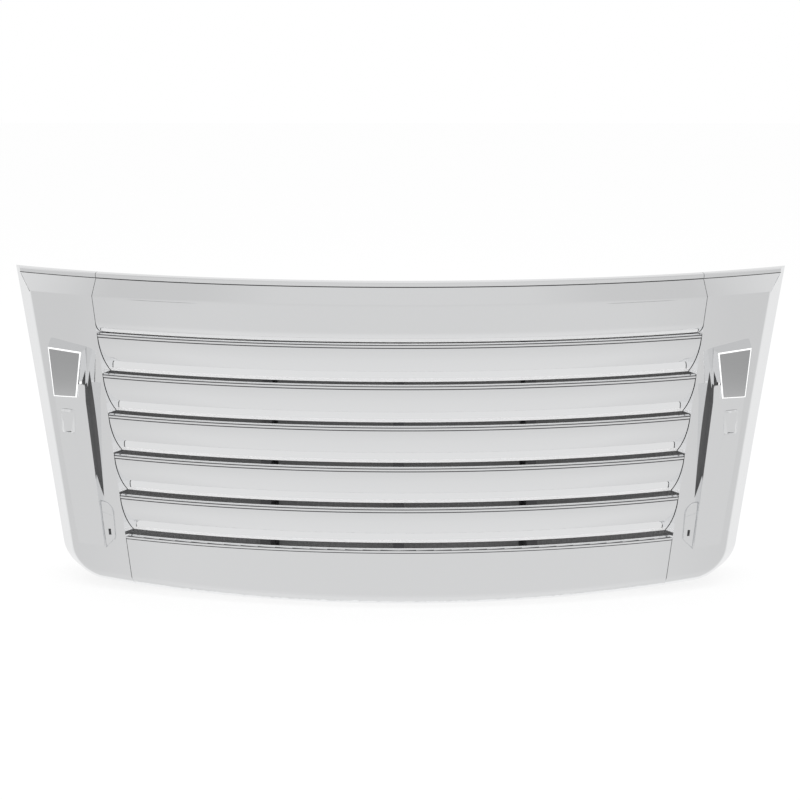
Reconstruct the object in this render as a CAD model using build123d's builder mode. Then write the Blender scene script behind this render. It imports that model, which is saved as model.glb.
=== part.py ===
"""Chrome front grille of a medium-duty truck, as an assembly of separate pieces.

Frame: X to the right as seen from the front, Y to the rear, Z up, millimetres.
The origin is the centre of the four-bolt mounting pattern on the rear plane.
The face is a leaning cone about a vertical axis behind the grille, so most
pieces are sections turned about that axis and trimmed at the two seams.
"""
import os
from math import asin, cos, degrees, radians, sin, sqrt, tan

from build123d import *

# ---- Face -----------------------------------------------------------------
face_radius = 1050.0        # plan radius of the face at z = 0
face_lean = 5.0             # the face leans back by this angle, degrees
face_front = -240.0         # y of the face on the centre line at z = 0
wall = 3.0                  # plated shell
casing_depth = 25.0         # depth of the casing behind the face, radially
sweep_half = 40.0           # half angle of the turned sections, degrees

# ---- Outline, seen from the front -----------------------------------------
crease_top_z = 193.0        # where the upper bevel starts
bevel_rise = 24.0
bevel_run = 17.0
lip_rise = 9.0              # upstanding lip along the top edge
lip_groove = 1.0            # shadow groove under the lip
bottom_z = -240.0           # bottom edge on the centre line
bottom_radius = 11400.0     # the bottom edge rises to the sides on this arc
bottom_roll = 14.0          # round between face and bottom wall
side_half_top = 569.0       # half width of the outline at side_ref_z, side_ref_y
side_ref_z = 190.0
side_ref_y = -40.0
side_slope = 0.0715         # half width lost per mm downwards
side_taper = 27.0           # side bevel against the Y axis, degrees
corner_radius = 47.0

# ---- Seams between the centre and the side panels -------------------------
seam_top_x = 460.0
seam_top_z = 222.0
seam_bottom_x = 398.0
seam_bottom_z = -215.0
seam_angle = 24.0           # plan angle of the seam walls, degrees
seam_gap = 0.8

# ---- Louvre blades and slots ----------------------------------------------
blade_count = 5
slot_count = blade_count + 1
nose_top_z = 133.4          # underside of the first blade's nose
blade_pitch = 59.2
nose_height = 5.4
nose_step = 0.9             # the nose stands proud of the face below it
nose_groove_z = 2.7
nose_groove = 0.7
nose_run = 5.5
ledge_depth = 34.0
ledge_fall = 7.2            # the ledge falls to the rear by this much
flange_height = 9.0
hem_setback = 22.0
first_hem_rise = 5.8        # height of the first hem over the nose below
hem_rise_step = 0.6         # each slot is this much taller than the one above
header_roll = 16.0
end_hole = 4.5              # open corner at each end of a slot


# ---- Intake pods, openings and end caps (left side, mirrored for the right) -
fold_z = -129.0              # crease across the end cap
fold_slope = 14.0
window_z = -155.0           # snap window in the end cap
window_width, window_height = 4.0, 9.0
pod_outboard = ((-524.0, 126.0), (-514.0, 45.0), (-507.0, -18.0), (-482.0, -178.0))
pod_inboard = ((-440.0, -178.0), (-464.0, 40.0), (-466.0, 126.0))
pod_depth = 14.0            # its walls run this far behind the face
block_low_z = 45.0          # the raised block stands over the tapering pad
block_top_z = 114.0
block_top_fall = 16.0       # its top face falls forwards, degrees
block_x, block_y = -496.0, -132.0
block_plan = 18.0           # plan angle and lean of the block's front, degrees
block_lean = 7.4
pad_x, pad_y = -491.0, -137.0
pad_plan = 25.0
plug_width, plug_height, plug_proud = 24.0, 36.0, 0.8
plug_x, plug_z = -493.0, 8.0
plug_gap = 0.3
intake_top = (-461.0, 82.0)
intake_low = (-440.0, -104.0)
intake_outboard = (-466.0, 20.0)
intake_inboard = (-449.5, 0.0)
screen_setback = 16.0
screen_thickness = 1.2
boss_offset = 12.5          # screen bosses stand this far outboard of the seam
boss_z = (98.0, 8.0, -85.0)
boss_radius = 3.5
cap_top = (-445.0, -111.0)
cap_crown = (-434.0, -114.0)
cap_shoulder = (-426.0, -124.0)
cap_side = (-423.0, -163.0)
cap_tip = (-436.5, -176.5)
cap_gap = 1.6
cap_proud = 2.0
cap_wall = 2.2
cap_depth = 9.0

# ---- Rear structure --------------------------------------------------------
rear_y = -168.0             # rear faces of the tie bars on the centre line
tie_x = 200.0
tie_half = 8.0
tie_web_half = 2.0
tie_flange = 3.0
tie_low_z, tie_high_z = -231.0, 185.0
rail_height = 22.0
rail_thickness = 5.0
top_rail_z = 177.0
bottom_rail_z = -215.0
rail_end_x = 488.0
upright_x = 478.0
upright_width = 26.0
upright_thickness = 3.0
upright_low_z, upright_high_z = -230.0, 192.0
seat_gap = 0.1              # flat plates against the gently curved rails
post_z = (142.0, -188.0)
post_radius = 6.0
mount_x = 470.0
mount_z = 110.0
mount_hole_radius = 4.5
bracket_height = 38.0
bracket_thickness = 3.0
bracket_bolt_pitch = 20.0
foot_beyond = 15.0          # the foot runs this far inboard of its hole
frame_low_z, frame_high_z = -198.0, 160.0
frame_half_x = 452.0
frame_border = 12.0
frame_thickness = 4.0
mesh_thickness = 1.0
clip_thickness = 1.0
clip_leg = 8.0
clip_half = 7.0
clip_x = (-330.0, -110.0, 110.0, 330.0)

# ---- Screws: shank radius, head radius, head height, fits -------------------
screw_fit = 0.15            # radial clearance of every hole
seat_lift = 0.02            # flat heads over the gently curved faces
small_screw = (1.5, 3.0, 1.8)
screw = (2.0, 3.6, 2.2)
bolt = (3.0, 5.5, 4.0)
nut_height = 5.0

turn_y = face_front + face_radius
turn_axis = Axis((0, turn_y, 0), (0, 0, 1))
lean = tan(radians(face_lean))


def nose_z(number):
    """Underside of a nose; the skirt's nose follows the last blade's."""
    return nose_top_z - (number - 1) * blade_pitch


def hem_z(number):
    """Lowest point of the hem over slot `number`."""
    return nose_z(number) + first_hem_rise + (number - 1) * hem_rise_step


def at(setback, z):
    """Point of a section: distance behind the face, and height."""
    return (face_front + lean * z + setback, z)


def radial_plane(angle):
    """Section plane at a plan angle; its local axes match Y and Z at zero."""
    a = radians(angle)
    return Plane(
        origin=(turn_y * sin(a), turn_y - turn_y * cos(a), 0),
        x_dir=(-sin(a), cos(a), 0),
        z_dir=(cos(a), sin(a), 0),
    )


def face_y(x, z, setback=0.0):
    """Y of the face, or of a surface behind it, at a place seen from the front."""
    return turn_y - sqrt((face_radius - lean * z - setback) ** 2 - x**2)


def seam_x(z):
    """Distance of the seam from the centre line at a height."""
    slope = (seam_top_x - seam_bottom_x) / (seam_top_z - seam_bottom_z)
    return seam_top_x - slope * (seam_top_z - z)


def seam_plane(offset=0.0):
    """Left seam; positive offsets move it inboard."""
    top = Vector(-seam_top_x, face_y(seam_top_x, seam_top_z), seam_top_z)
    low = Vector(-seam_bottom_x, face_y(seam_bottom_x, seam_bottom_z), seam_bottom_z)
    inward = Vector(sin(radians(seam_angle)), cos(radians(seam_angle)), 0)
    normal = (top - low).cross(inward).normalized()
    if normal.X < 0:
        normal = normal * -1
    return Plane(origin=top + normal * offset, x_dir=inward, z_dir=normal)


def turned(outline, half_angle=sweep_half):
    """A closed outline of points turned both ways about the face axis."""
    with BuildPart() as piece:
        with BuildSketch(radial_plane(-half_angle)):
            with BuildLine():
                Polyline(*outline, close=True)
            make_face()
        revolve(axis=turn_axis, revolution_arc=2 * half_angle)
    return piece.part


# ---- Casing: top lip, bevels, face, bottom wall ----------------------------
def top_edge():
    """Outer points from the upper crease over the lip to its rear edge."""
    z0 = crease_top_z + bevel_rise
    return [
        at(0, crease_top_z),
        at(bevel_run, z0),
        at(bevel_run + lip_groove, z0 + 0.2),
        at(bevel_run + lip_groove, z0 + lip_groove),
        at(bevel_run - 0.6, z0 + lip_groove + 0.2),
        at(bevel_run, z0 + lip_rise - 3.0),
        at(bevel_run + 1.2, z0 + lip_rise - 1.4),
        at(bevel_run + 3.0, z0 + lip_rise - 0.8),
        at(casing_depth, z0 + lip_rise),
    ]


def casing_block(section, inset):
    """A filled section turned about the axis and cut to the front outline."""
    with BuildPart() as block:
        with BuildSketch(radial_plane(-sweep_half)):
            with BuildLine():
                Polyline(*section, close=True)
            make_face()
        revolve(axis=turn_axis, revolution_arc=2 * sweep_half)
        for y in (face_front - 60, 60):
            half = side_half_top + tan(radians(side_taper)) * (y - side_ref_y)
            half -= inset / cos(radians(side_taper))
            low = half - side_slope * (side_ref_z - bottom_z)
            high = half + side_slope * 100
            rise = low**2 / (2 * bottom_radius)
            with BuildSketch(Plane.XZ.offset(-y)) as outline:
                with BuildLine():
                    ThreePointArc(
                        (-low, bottom_z + inset + rise),
                        (0, bottom_z + inset),
                        (low, bottom_z + inset + rise),
                    )
                    Line((low, bottom_z + inset + rise), (high, side_ref_z + 100))
                    Line((high, side_ref_z + 100), (-high, side_ref_z + 100))
                    Line((-high, side_ref_z + 100), (-low, bottom_z + inset + rise))
                make_face()
                corners = outline.vertices().group_by(Axis.Y)[0]
                fillet(corners, corner_radius - inset)
        loft(mode=Mode.INTERSECT)
        front_low = [
            edge for edge in block.edges()
            if edge.center().Z < corner_radius + bottom_z + 15
            and abs(edge.center().Y - face_y(edge.center().X, edge.center().Z, inset)) < 1.5
        ]
        fillet(front_low, bottom_roll - inset)
    return block.part


def holes(part, planes, radius, depth):
    """Cut a straight hole through a part at each plane, both ways."""
    with BuildPart() as piece:
        add(part)
        with Locations(*planes):
            Cylinder(radius, depth, mode=Mode.SUBTRACT)
    return piece.part


def fasteners(planes, size, length, sides=0):
    """Screws with their heads on the planes' upper side, as separate solids."""
    shank, head, height = size
    with BuildPart() as one:
        with BuildSketch(Plane.XY.offset(seat_lift)):
            if sides:
                RegularPolygon(head, sides)
            else:
                Circle(head)
        extrude(amount=height)
        with BuildSketch(Plane.XY.offset(seat_lift)):
            Circle(shank)
        extrude(amount=-length)
        top = one.faces().sort_by(Axis.Z)[-1]
        chamfer(top.edges(), height / 4)
        with BuildSketch(Plane.XY.offset(height + seat_lift)):
            RegularPolygon(head * 0.5, 6)
        extrude(amount=-height / 2, mode=Mode.SUBTRACT)
    with BuildPart() as group:
        with Locations(*planes):
            add(one.part)
    return group.part


def mirrored(part):
    with BuildPart() as piece:
        mirror(part, about=Plane.YZ)
    return piece.part


# ---- Places ----------------------------------------------------------------
def face_plane(angle, z, setback):
    """Plane on a surface behind the face; its Z axis points to the rear."""
    a = radians(angle)
    rho = face_radius - lean * z - setback
    rearward = Vector(-sin(a), cos(a), -lean)
    return Plane(
        origin=(rho * sin(a), turn_y - rho * cos(a), z),
        x_dir=(cos(a), sin(a), 0), z_dir=rearward,
    )


def rear_plane(angle, z, radius):
    """Plane on a vertical cylinder of the rear structure, facing the rear."""
    a = radians(angle)
    return Plane(
        origin=(radius * sin(a), turn_y - radius * cos(a), z),
        x_dir=(cos(a), sin(a), 0), z_dir=(-sin(a), cos(a), 0),
    )


def seam_place(setback, z, offset):
    """Plane on the left seam wall for a cross screw; Z points outboard."""
    seam = seam_plane()
    spot = Vector(-seam_x(z), face_y(seam_x(z), z), z)
    spot += Vector(sin(radians(seam_angle)), cos(radians(seam_angle)), 0) * setback
    local = seam.to_local_coords(spot)
    origin = seam.from_local_coords((local.X, local.Y, offset))
    return Plane(origin=origin, x_dir=seam.x_dir, z_dir=seam.z_dir * -1)


rear_radius = turn_y - rear_y
rail_rear_radius = rear_radius - rail_thickness
upright_radius = rail_rear_radius - seat_gap
upright_angle = degrees(asin(upright_x / upright_radius))
tie_angles = {
    "left": -degrees(asin(tie_x / face_radius)),
    "centre": 0.0,
    "right": degrees(asin(tie_x / face_radius)),
}
tie_screw_angle = degrees((tie_web_half + screw[1] + 0.3) / face_radius)
gusset = 4.0
cross_setback = 16.0
cross_heights = [crease_top_z - 26.0]
cross_heights += [nose_z(number) - 15.0 for number in range(1, slot_count + 1)]
seam_screw_places = [
    seam_place(cross_setback, z, -seam_gap / 2 - wall) for z in cross_heights
]
seam_hole_places = [seam_place(cross_setback, z, 0) for z in cross_heights]


def between_seams(part, end_wall=0.0):
    """Trim a full-width piece to the seams, clear by half the seam gap."""
    with BuildPart() as piece:
        add(part)
        left = seam_plane(seam_gap / 2 + end_wall)
        split(bisect_by=left, keep=Keep.TOP)
        right = Plane(
            origin=(-left.origin.X, left.origin.Y, left.origin.Z),
            x_dir=(-left.x_dir.X, left.x_dir.Y, left.x_dir.Z),
            z_dir=(-left.z_dir.X, left.z_dir.Y, left.z_dir.Z),
        )
        split(bisect_by=right, keep=Keep.TOP)
    return piece.part


def end_gussets(outline):
    """Filled end plates of a section, just inside each seam."""
    block = between_seams(turned(outline))
    with BuildPart() as left:
        add(block)
        split(bisect_by=seam_plane(seam_gap / 2 + gusset), keep=Keep.BOTTOM)
    with BuildPart() as pair:
        add(left.part)
        mirror(left.part, about=Plane.YZ)
    return pair.part


def bend(setback, start_z, low_z):
    """Middle point of an arc that leaves the face upright and ends set back."""
    drop = start_z - low_z
    radius = (setback**2 + drop**2) / (2 * setback)
    return radius - sqrt(radius**2 - (drop / 2) ** 2), start_z - drop / 2


def both_sides(planes):
    """The same planes again on the right-hand side."""
    mirrored_planes = [
        Plane(origin=(-p.origin.X, p.origin.Y, p.origin.Z),
              x_dir=(-p.x_dir.X, p.x_dir.Y, p.x_dir.Z),
              z_dir=(-p.z_dir.X, p.z_dir.Y, p.z_dir.Z))
        for p in planes
    ]
    return planes + mirrored_planes


def notched(part, number):
    """Open the corner of a nose at both seams."""
    with BuildPart() as piece:
        add(part)
        with Locations(*both_sides([seam_place(2.0, nose_z(number) + nose_height, 0)])):
            Box(12, 5, 2 * end_hole, mode=Mode.SUBTRACT)
    return piece.part


def bored(part, row, flange_heights):
    """Cross holes of one row at both seams, and holes for the tie bar screws."""
    crossed = holes(part, both_sides([seam_hole_places[row]]), screw[0] + screw_fit, 30)
    spots = [
        face_plane(angle + tie_screw_angle, z, ledge_depth + tie_flange)
        for angle in tie_angles.values() for z in flange_heights
    ]
    return holes(crossed, spots, screw[0] + screw_fit, 2 * (tie_flange + wall) + 2)


# ---- Header ----------------------------------------------------------------
def header_panel():
    hem = hem_z(1)
    roll_z = hem + header_roll
    inner_roll = header_roll - wall
    k = 1 - sin(radians(45))
    lip = top_edge()
    with BuildPart() as shell:
        with BuildSketch(radial_plane(-sweep_half)):
            with BuildLine():
                Polyline(at(0, roll_z), *lip, at(casing_depth, lip[-1][1] - wall),
                         at(bevel_run + wall + 1.5, lip[-1][1] - wall - 1.5),
                         at(bevel_run + wall, crease_top_z + bevel_rise - 1.2),
                         at(wall, crease_top_z - 1.0), at(wall, roll_z))
                ThreePointArc(at(wall, roll_z),
                              at(wall + inner_roll * k, roll_z - inner_roll * (1 - k)),
                              at(header_roll, hem + wall))
                Polyline(at(header_roll, hem + wall), at(hem_setback, hem + wall),
                         at(hem_setback + wall / 2, hem + wall * 0.7),
                         at(hem_setback + wall / 2, hem + wall * 0.3),
                         at(hem_setback, hem), at(header_roll, hem))
                ThreePointArc(at(header_roll, hem),
                              at(header_roll * k, roll_z - header_roll * (1 - k)),
                              at(0, roll_z))
            make_face()
        revolve(axis=turn_axis, revolution_arc=2 * sweep_half)
        rib_z = crease_top_z - 22.0
        add(turned([at(wall - 0.5, rib_z), at(ledge_depth, rib_z),
                    at(ledge_depth, rib_z + flange_height + wall),
                    at(ledge_depth - wall, rib_z + flange_height + wall),
                    at(ledge_depth - wall, rib_z + wall), at(wall - 0.5, rib_z + wall)]))
    with BuildPart() as piece:
        add(between_seams(shell.part))
        add(end_gussets([at(wall / 2, roll_z + 1), at(hem_setback - 2, hem + wall / 2),
                         at(casing_depth, rib_z + 1), at(wall / 2, rib_z + 1)]))
    return bored(piece.part, 0, [rib_z + wall + flange_height / 2])


# ---- Louvre blades ---------------------------------------------------------
def nose_and_ledge(z):
    """Outer points from the foot of a nose over it to the ledge's rear flange."""
    top = z + nose_height
    return [
        at(nose_step, z), at(0, z), at(0, z + nose_groove_z),
        at(nose_groove, z + nose_groove_z + 0.2),
        at(nose_groove, z + nose_groove_z + nose_groove),
        at(0.2, z + nose_groove_z + nose_groove + 0.2),
        at(0.8, top - 1.1), at(2.2, top - 0.35), at(4.0, top - 0.05), at(nose_run, top),
        at(ledge_depth, top - ledge_fall),
        at(ledge_depth, top - ledge_fall - flange_height),
        at(ledge_depth - wall, top - ledge_fall - flange_height),
        at(ledge_depth - wall, top - ledge_fall - wall * 0.8),
        at(nose_run + 2.0, top - wall),
        at(nose_step + wall, top - wall - 2.0),
    ]


def louvre_blade(number):
    z = nose_z(number)
    hem = hem_z(number + 1)
    outer_s, outer_z = bend(hem_setback - nose_step, z, hem)
    inner_s, inner_z = bend(hem_setback - nose_step, z, hem + wall / 2)
    nose = nose_and_ledge(z)
    with BuildPart() as shell:
        with BuildSketch(radial_plane(-sweep_half)):
            with BuildLine():
                Polyline(*nose, at(nose_step + wall, z))
                ThreePointArc(at(nose_step + wall, z), at(nose_step + wall + inner_s, inner_z),
                              at(hem_setback + wall, hem + wall / 2))
                ThreePointArc(at(hem_setback + wall, hem + wall / 2),
                              at(hem_setback + wall / 2, hem),
                              at(hem_setback, hem + wall / 2))
                ThreePointArc(at(hem_setback, hem + wall / 2),
                              at(nose_step + outer_s, outer_z), at(nose_step, z))
            make_face()
        revolve(axis=turn_axis, revolution_arc=2 * sweep_half)
    with BuildPart() as piece:
        add(between_seams(shell.part))
        add(end_gussets([at(nose_step + 1, z), at(ledge_depth - 1, nose[10][1] - 1),
                         at(ledge_depth - 1, nose[11][1] + 1),
                         at(hem_setback + 1, hem + 6), at(hem_setback - 3, hem + 9),
                         at(nose_step + outer_s + 1, outer_z)]))
    return notched(bored(piece.part, number, [nose[11][1] + flange_height / 2]), number)


# ---- Skirt -----------------------------------------------------------------
def skirt_panel():
    z = nose_z(slot_count)
    nose = nose_and_ledge(z)
    solid = casing_block([at(0, bottom_z - 40), *nose[1:11],
                          at(ledge_depth, bottom_z - 40)], 0)
    hollow = casing_block([at(wall, bottom_z - 40), at(wall, nose[15][1]), *nose[14:10:-1],
                           at(ledge_depth + 30, nose[11][1]),
                           at(ledge_depth + 30, bottom_z - 40)], wall)
    with BuildPart() as piece:
        add(between_seams(solid))
        add(between_seams(hollow, gusset), mode=Mode.SUBTRACT)
        add(turned([at(-1, z - 1.2), at(nose_groove, z - 1.0), at(nose_groove, z - 0.3),
                    at(-1, z + 0.5)]), mode=Mode.SUBTRACT)
    drilled = bored(piece.part, slot_count, [nose[11][1] + flange_height / 2])
    return notched(drilled, slot_count)


# ---- Side panel with its intake pod ----------------------------------------
def outboard_of_seam(part, offset):
    with BuildPart() as piece:
        add(part)
        split(bisect_by=seam_plane(-offset), keep=Keep.BOTTOM)
    return piece.part


def side_shell():
    z0 = crease_top_z + bevel_rise
    lip = top_edge()
    solid = casing_block([at(0, bottom_z - 40), *lip, at(casing_depth, bottom_z - 40)], 0)
    hollow = casing_block(
        [at(wall, bottom_z - 40), at(wall, crease_top_z - 1.0),
         at(bevel_run + wall, z0 - 1.2), at(bevel_run + wall + 1.5, lip[-1][1] - wall - 1.5),
         at(casing_depth + 30, lip[-1][1] - wall), at(casing_depth + 30, bottom_z - 40)], wall)
    with BuildPart() as shell:
        add(outboard_of_seam(solid, seam_gap / 2))
        add(outboard_of_seam(hollow, seam_gap / 2 + wall), mode=Mode.SUBTRACT)
    return shell.part


def block_front_y(x, z):
    """Y of the raised block's front plane at a place seen from the front."""
    return (block_y + (x - block_x) * -tan(radians(block_plan))
            - (block_top_z - z) * tan(radians(block_lean)))


def pod_solid(inset):
    """The pod's outer volume, or its hollow when drawn in by the wall."""
    plan, tilt = radians(block_plan), radians(block_lean)
    rear = 60 if inset else 20
    with BuildPart() as pod:
        with BuildSketch(Plane.XZ.offset(-rear)):
            with BuildLine():
                Polyline(*pod_outboard, *pod_inboard, close=True)
            make_face()
            if inset:
                offset(amount=-inset, kind=Kind.INTERSECTION)
        extrude(amount=300)
        top = Plane(origin=(block_x, block_y, block_top_z - inset), x_dir=(1, 0, 0),
                    z_dir=(0, -sin(radians(block_top_fall)), cos(radians(block_top_fall))))
        split(bisect_by=top, keep=Keep.BOTTOM)
        normal = Vector(-sin(plan) * cos(tilt), -cos(plan) * cos(tilt), sin(tilt))
        front = Plane(origin=Vector(block_x, block_y, block_top_z) - normal * inset,
                      z_dir=normal)
        split(bisect_by=front, keep=Keep.BOTTOM)
        facet_top = Vector(-471, block_front_y(-471, block_top_z), block_top_z)
        facet_low = Vector(-478, block_front_y(-478, block_low_z), block_low_z)
        facet_wall = Vector(-465.5, block_front_y(-471, block_top_z) + 11, block_top_z)
        normal = (facet_low - facet_top).cross(facet_wall - facet_top).normalized()
        if normal.X < 0:
            normal = normal * -1
        upper = Plane(origin=facet_top - normal * inset, z_dir=normal)
        pad_normal = Vector(-sin(radians(pad_plan)), -cos(radians(pad_plan)), 0)
        pad = Plane(origin=Vector(pad_x, pad_y, 0) - pad_normal * inset, z_dir=pad_normal)
        low = block_low_z + inset
    with BuildPart() as block:
        add(pod.part)
        split(bisect_by=Plane.XY.offset(low), keep=Keep.TOP)
        split(bisect_by=upper, keep=Keep.BOTTOM)
    with BuildPart() as lower:
        add(pod.part)
        split(bisect_by=pad, keep=Keep.BOTTOM)
        split(bisect_by=Plane.XY.offset(low + 20), keep=Keep.BOTTOM)
    with BuildPart() as whole:
        add(block.part)
        add(lower.part)
    return whole.part


def lens():
    """Intake opening as a straight cutter along Y."""
    with BuildPart() as cutter:
        with BuildSketch(Plane.XZ.offset(60)):
            with BuildLine():
                ThreePointArc(intake_top, intake_outboard, intake_low)
                ThreePointArc(intake_low, intake_inboard, intake_top)
            make_face()
        extrude(amount=160)
    return cutter.part


def cap_sketch(grow):
    """End cap outline seen from the front, grown or drawn in, kept off the pod."""
    with BuildSketch(Plane.XZ.offset(60)) as outline:
        with BuildLine():
            ThreePointArc(cap_top, cap_crown, cap_shoulder)
            Polyline(cap_shoulder, cap_side, cap_tip, cap_top)
        make_face()
        if grow:
            offset(amount=grow, kind=Kind.INTERSECTION)
        with BuildLine():
            Polyline(*pod_outboard, *pod_inboard, close=True)
        make_face(mode=Mode.SUBTRACT)
    return outline.sketch


def cap_prism(grow):
    with BuildPart() as prism:
        extrude(cap_sketch(grow), amount=160, dir=(0, -1, 0))
    return prism.part


def layer(front, rear, low, high):
    """Turned layer between two distances behind the face and two heights."""
    return turned([at(front, low), at(rear, low), at(rear, high), at(front, high)])


def boss_planes(setback):
    """Planes of the intake screen's bosses, on the strip beside the left seam."""
    planes = []
    for z in boss_z:
        x = seam_x(z) + boss_offset
        angle = degrees(asin(x / (face_radius - lean * z)))
        planes.append(face_plane(-angle, z, setback))
    return planes


def upright_plane(offset=0.0, z=0.0):
    """Front plane of the left upright moved to the rear; Z points rearward."""
    return rear_plane(-upright_angle, z, upright_radius - offset)


def plug_plane(depth=0.0):
    """Plane of the left pod's plug, `depth` under the pad; Z points outward."""
    normal = Vector(-sin(radians(pad_plan)), -cos(radians(pad_plan)), 0)
    y = pad_y - (plug_x - pad_x) * tan(radians(pad_plan))
    return Plane(origin=Vector(plug_x, y, plug_z) - normal * depth,
                 x_dir=(cos(radians(pad_plan)), -sin(radians(pad_plan)), 0), z_dir=normal)


def side_posts():
    """Posts from behind the skin to the upright."""
    with BuildPart() as posts:
        for z in post_z:
            with BuildSketch(Plane.XZ.offset(0)):
                with Locations((-upright_x, z)):
                    Circle(post_radius)
            extrude(amount=200)
        split(bisect_by=upright_plane(), keep=Keep.BOTTOM)
        add(layer(wall / 2, 160, -250, 190), mode=Mode.INTERSECT)
    return posts.part


def mitre_slit():
    """Thin groove along the mitre between the upper and the side bevel."""
    top_z = crease_top_z + bevel_rise
    ends = []
    for z, setback in ((crease_top_z - 1.0, 0.0), (top_z - 1.0, bevel_run - 0.8)):
        half = side_half_top + side_slope * (z - side_ref_z)
        y = side_ref_y
        for _ in range(20):
            x = half + tan(radians(side_taper)) * (y - side_ref_y)
            y = face_y(x, z, setback)
        ends.append(Vector(-x, y, z))
    run = ends[1] - ends[0]
    outward = Vector(-0.75, -0.66, 0)
    normal = run.normalized().cross(outward).normalized()
    middle = (ends[0] + ends[1]) * 0.5
    plane = Plane(origin=middle, x_dir=run, z_dir=normal)
    with BuildPart() as slit:
        with BuildSketch(plane):
            Rectangle(run.length, 2.4)
        extrude(amount=0.5, both=True)
    return slit.part


def side_panel():
    with BuildPart() as pod:
        add(pod_solid(0))
        add(layer(-80, pod_depth, -260, 140), mode=Mode.INTERSECT)
    with BuildPart() as panel:
        add(side_shell())
        add(lens(), mode=Mode.SUBTRACT)
        add(cap_prism(cap_gap), mode=Mode.SUBTRACT)
        add(pod.part)
        add(pod_solid(wall), mode=Mode.SUBTRACT)
        with Locations(*boss_planes(screen_setback)):
            Cylinder(boss_radius, screen_setback - wall / 2,
                     align=(Align.CENTER, Align.CENTER, Align.MAX))
        add(side_posts())
        with Locations(*boss_planes(screen_setback)):
            Cylinder(small_screw[0] + screw_fit, 20, mode=Mode.SUBTRACT)
        with Locations(*[upright_plane(0, z) for z in post_z]):
            Cylinder(screw[0] + screw_fit, 28, mode=Mode.SUBTRACT)
        with Locations(*seam_screw_places):
            Cylinder(screw[0] + screw_fit, 4 * wall, mode=Mode.SUBTRACT)
        with BuildSketch(plug_plane(-5)):
            RectangleRounded(plug_width, plug_height, 4)
        extrude(amount=-15, mode=Mode.SUBTRACT)
        add(mitre_slit(), mode=Mode.SUBTRACT)
    return panel.part


def pod_plug():
    with BuildPart() as plug:
        with BuildSketch(plug_plane(-plug_proud)):
            RectangleRounded(plug_width - 2 * plug_gap, plug_height - 2 * plug_gap, 4)
        extrude(amount=-(plug_proud + wall + 1.5))
        with BuildSketch(plug_plane(wall + 0.1)):
            RectangleRounded(plug_width + 5, plug_height + 5, 5)
        extrude(amount=-1.4)
        with BuildSketch(plug_plane(1.2)):
            RectangleRounded(plug_width - 5, plug_height - 5, 2)
        extrude(amount=-20, mode=Mode.SUBTRACT)
        with BuildSketch(plug_plane(-5)):
            with Locations((0, -plug_height / 2 + 2)):
                Rectangle(plug_width * 0.45, 1.4)
        extrude(amount=-5.6, mode=Mode.SUBTRACT)
    return plug.part


def intake_screen():
    low, high = cap_top[1] + 2, boss_z[0] + 9
    with BuildPart() as screen:
        add(layer(screen_setback, screen_setback + screen_thickness, low - 40, high + 40))
        with BuildSketch(Plane.XZ.offset(-60)):
            with BuildLine():
                Polyline((-seam_x(low) - 40, low), (-seam_x(low) - 3, low),
                         (-seam_x(high) - 3, high), (-seam_x(high) - 40, high), close=True)
            make_face()
        extrude(amount=400, mode=Mode.INTERSECT)
        with Locations(*boss_planes(screen_setback)):
            Cylinder(small_screw[0] + screw_fit, 10, mode=Mode.SUBTRACT)
    return screen.part


def cap_layer(grow, front, rear):
    """The end cap's outline between two distances behind the face."""
    with BuildPart() as slab:
        add(cap_prism(grow))
        add(layer(front, rear, -200, -90), mode=Mode.INTERSECT)
    return slab.part


def cap_fold():
    """Shallow crease across the front of the end cap."""
    with BuildPart() as fold:
        with BuildSketch(Plane.XZ.offset(60)):
            with Locations((cap_crown[0] + 2.5, fold_z)):
                Rectangle(40, 0.9, rotation=-fold_slope)
        extrude(amount=160)
        add(layer(-10, 0.8 - cap_proud, -200, -90), mode=Mode.INTERSECT)
    return fold.part


def intake_end_cap():
    with BuildPart() as flange:
        add(cap_layer(cap_gap + 2.5, wall + 0.1, wall + 1.7))
        add(cap_prism(-cap_wall / 2), mode=Mode.SUBTRACT)
    with BuildPart() as cap:
        add(cap_layer(0, -cap_proud, cap_depth))
        add(cap_layer(-cap_wall, cap_wall - cap_proud, cap_depth + 20), mode=Mode.SUBTRACT)
        add(flange.part)
        add(cap_fold(), mode=Mode.SUBTRACT)
        with BuildSketch(Plane.XZ.offset(60)):
            with Locations((cap_crown[0] + 3, window_z)):
                Rectangle(window_width, window_height, rotation=fold_slope / 2)
        extrude(amount=160, mode=Mode.SUBTRACT)
    return cap.part


# ---- Tie bars, rails and uprights ------------------------------------------
def turned_at(outline, angle, half_width, radius):
    """A narrow turned section centred on a plan angle."""
    half = degrees(half_width / radius)
    with BuildPart() as piece:
        with BuildSketch(radial_plane(angle - half)):
            with BuildLine():
                Polyline(*outline, close=True)
            make_face()
        revolve(axis=turn_axis, revolution_arc=2 * half)
    return piece.part


def tie_screw_places(angle):
    """Rear faces of a tie bar's front flange where its screws sit."""
    heights = [crease_top_z - 22.0 + wall + flange_height / 2]
    for number in range(1, slot_count + 1):
        heights.append(nose_z(number) + nose_height - ledge_fall - flange_height / 2)
    return [
        face_plane(angle + tie_screw_angle, z, ledge_depth + tie_flange) for z in heights
    ]


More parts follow.
